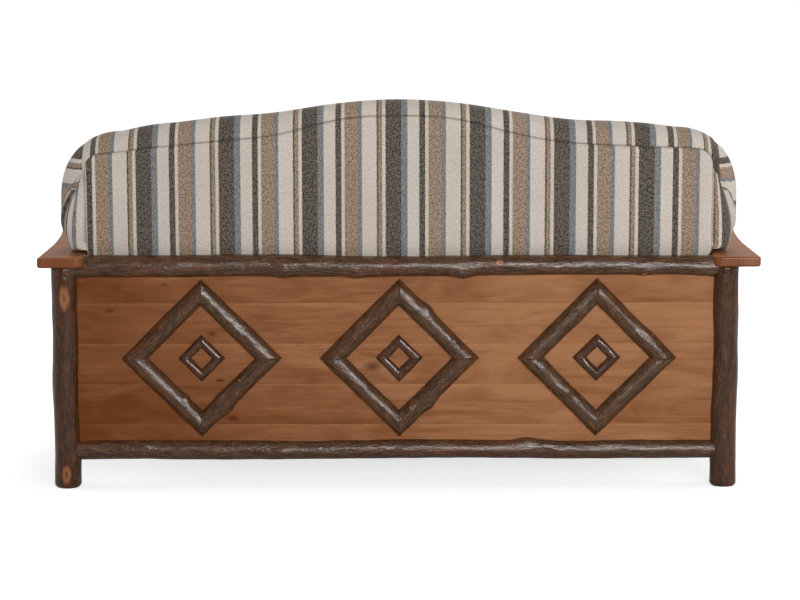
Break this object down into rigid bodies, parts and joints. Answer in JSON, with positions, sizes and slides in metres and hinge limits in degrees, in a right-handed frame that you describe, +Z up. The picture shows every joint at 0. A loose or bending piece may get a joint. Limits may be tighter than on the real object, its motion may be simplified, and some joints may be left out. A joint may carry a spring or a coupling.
{
  "type": "log-framed sofa",
  "caption": "Rustic sofa with a bark-on hickory log frame, board panels with half-round diamond trim, paddle arms, a striped camel-back and loose seat cushions",
  "frame": {"origin": "on the floor under the middle of the sofa's outer box", "axes": "+X across the sofa to the right as seen from behind, +Y from back to front, +Z up"},
  "size_m": [2.1258, 0.93, 1.0988],
  "materials": {
    "hickory_bark": "hickory poles and half-round strips with the bark on, clear satin lacquer",
    "panel_wood": "stained boards with visible grain, satin lacquer",
    "arm_wood": "stained solid board, satin lacquer",
    "frame_wood": "raw hardwood frame boards",
    "striped_fabric": "woven chenille with stripes in cream, charcoal, tan and blue-grey",
    "webbing": "woven upholstery webbing",
    "deck_felt": "needled felt",
    "bolt_steel": "zinc-plated bolts"
  },
  "bodies": {
    "sofa_frame": {"arm_left": "arm_wood", "arm_right": "arm_wood", "back_bolts": "bolt_steel", "back_frame_bottom_rail": "frame_wood", "back_frame_middle_left": "frame_wood", "back_frame_middle_right": "frame_wood", "back_frame_stile_left": "frame_wood", "back_frame_stile_right": "frame_wood", "back_frame_top_rail": "frame_wood", "back_pad": "striped_fabric", "back_webbing": "webbing", "front_bottom_rail": "hickory_bark", "front_panel": "panel_wood", "front_post_left": "hickory_bark", "front_post_right": "hickory_bark", "front_seat_rail": "hickory_bark", "outside_back": "striped_fabric", "rear_bottom_rail": "hickory_bark", "rear_diamond_centre": "hickory_bark", "rear_diamond_left": "hickory_bark", "rear_diamond_right": "hickory_bark", "rear_inner_diamond_centre": "hickory_bark", "rear_inner_diamond_left": "hickory_bark", "rear_inner_diamond_right": "hickory_bark", "rear_panel_board_1": "panel_wood", "rear_panel_board_2": "panel_wood", "rear_panel_board_3": "panel_wood", "rear_panel_board_4": "panel_wood", "rear_panel_board_5": "panel_wood", "rear_post_left": "hickory_bark", "rear_post_right": "hickory_bark", "rear_top_rail": "hickory_bark", "seat_deck": "deck_felt", "seat_end_left": "frame_wood", "seat_end_right": "frame_wood", "seat_front_rail": "frame_wood", "seat_ledger_left": "frame_wood", "seat_ledger_right": "frame_wood", "seat_rear_rail": "frame_wood", "seat_stretcher_left": "frame_wood", "seat_stretcher_right": "frame_wood", "seat_webbing": "webbing", "side_bottom_rail_left": "hickory_bark", "side_bottom_rail_right": "hickory_bark", "side_diamond_left": "hickory_bark", "side_diamond_right": "hickory_bark", "side_inner_diamond_left": "hickory_bark", "side_inner_diamond_right": "hickory_bark", "side_panel_left": "panel_wood", "side_panel_right": "panel_wood", "side_top_rail_left": "hickory_bark", "side_top_rail_right": "hickory_bark"},
    "seat_cushion_left": {"seat_cushion_left": "striped_fabric"},
    "seat_cushion_centre": {"seat_cushion_centre": "striped_fabric"},
    "seat_cushion_right": {"seat_cushion_right": "striped_fabric"}
  },
  "joints": [
    {"name": "lift_left_cushion", "type": "slide", "parent": "sofa_frame", "child": "seat_cushion_left", "axis": [0, 0, 1], "range_m": [0, 0.25]},
    {"name": "lift_centre_cushion", "type": "slide", "parent": "sofa_frame", "child": "seat_cushion_centre", "axis": [0, 0, 1], "range_m": [0, 0.25]},
    {"name": "lift_right_cushion", "type": "slide", "parent": "sofa_frame", "child": "seat_cushion_right", "axis": [0, 0, 1], "range_m": [0, 0.25]}
  ]
}
